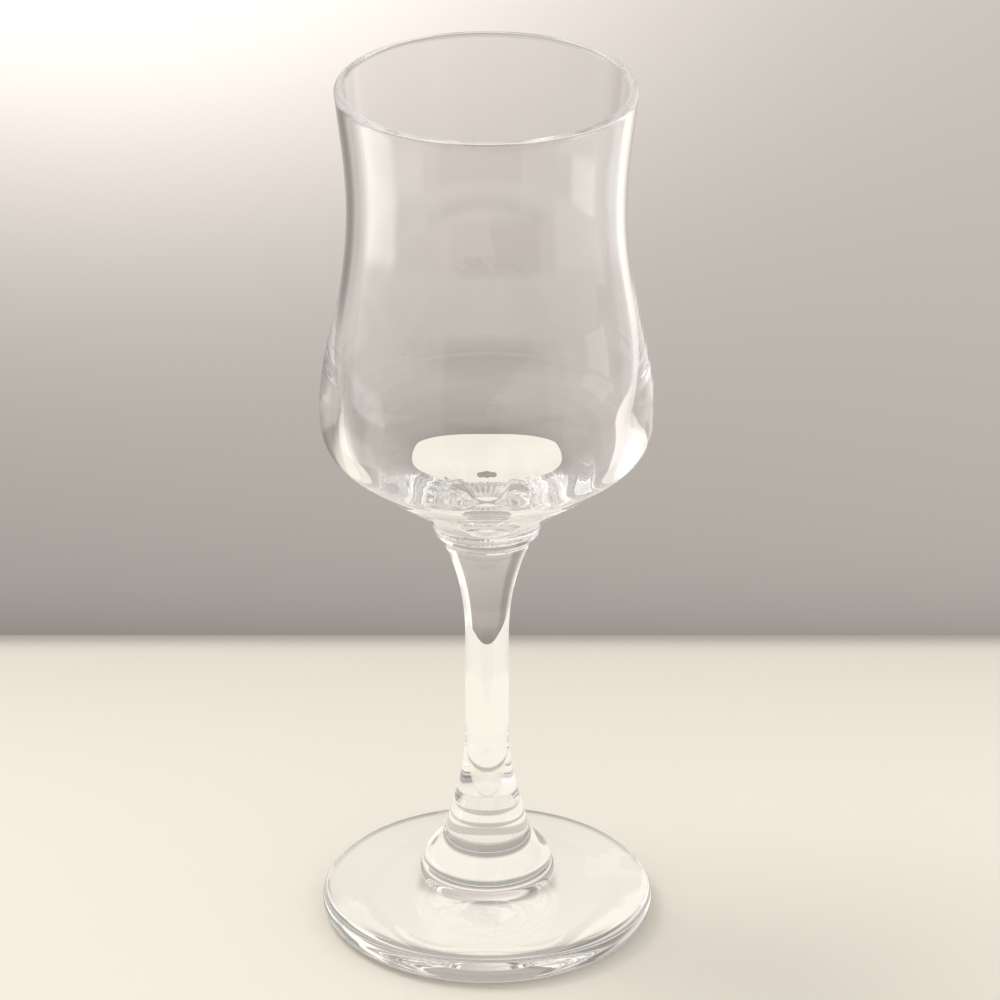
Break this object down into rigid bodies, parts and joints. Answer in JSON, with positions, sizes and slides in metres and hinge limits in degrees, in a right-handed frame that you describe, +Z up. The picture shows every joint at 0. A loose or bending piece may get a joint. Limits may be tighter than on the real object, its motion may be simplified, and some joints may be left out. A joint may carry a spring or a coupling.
{
  "type": "cordial glass",
  "caption": "Stemmed cordial glass: a waisted bowl with a solid base, fused to a slender flared stem and a cushioned disc foot.",
  "frame": {"origin": "centre of the resting ring under the foot, on the table", "axes": "+Z up along the glass's axis of revolution, towards the rim; X and Y lie in the table"},
  "size_m": [0.0482, 0.0482, 0.13],
  "materials": {
    "clear_glass": "fire-polished, clear and colourless"
  },
  "bodies": {
    "root": {"bowl": "clear_glass", "neck_ring": "clear_glass", "stem": "clear_glass", "ankle_ring": "clear_glass", "foot": "clear_glass"}
  },
  "joints": []
}
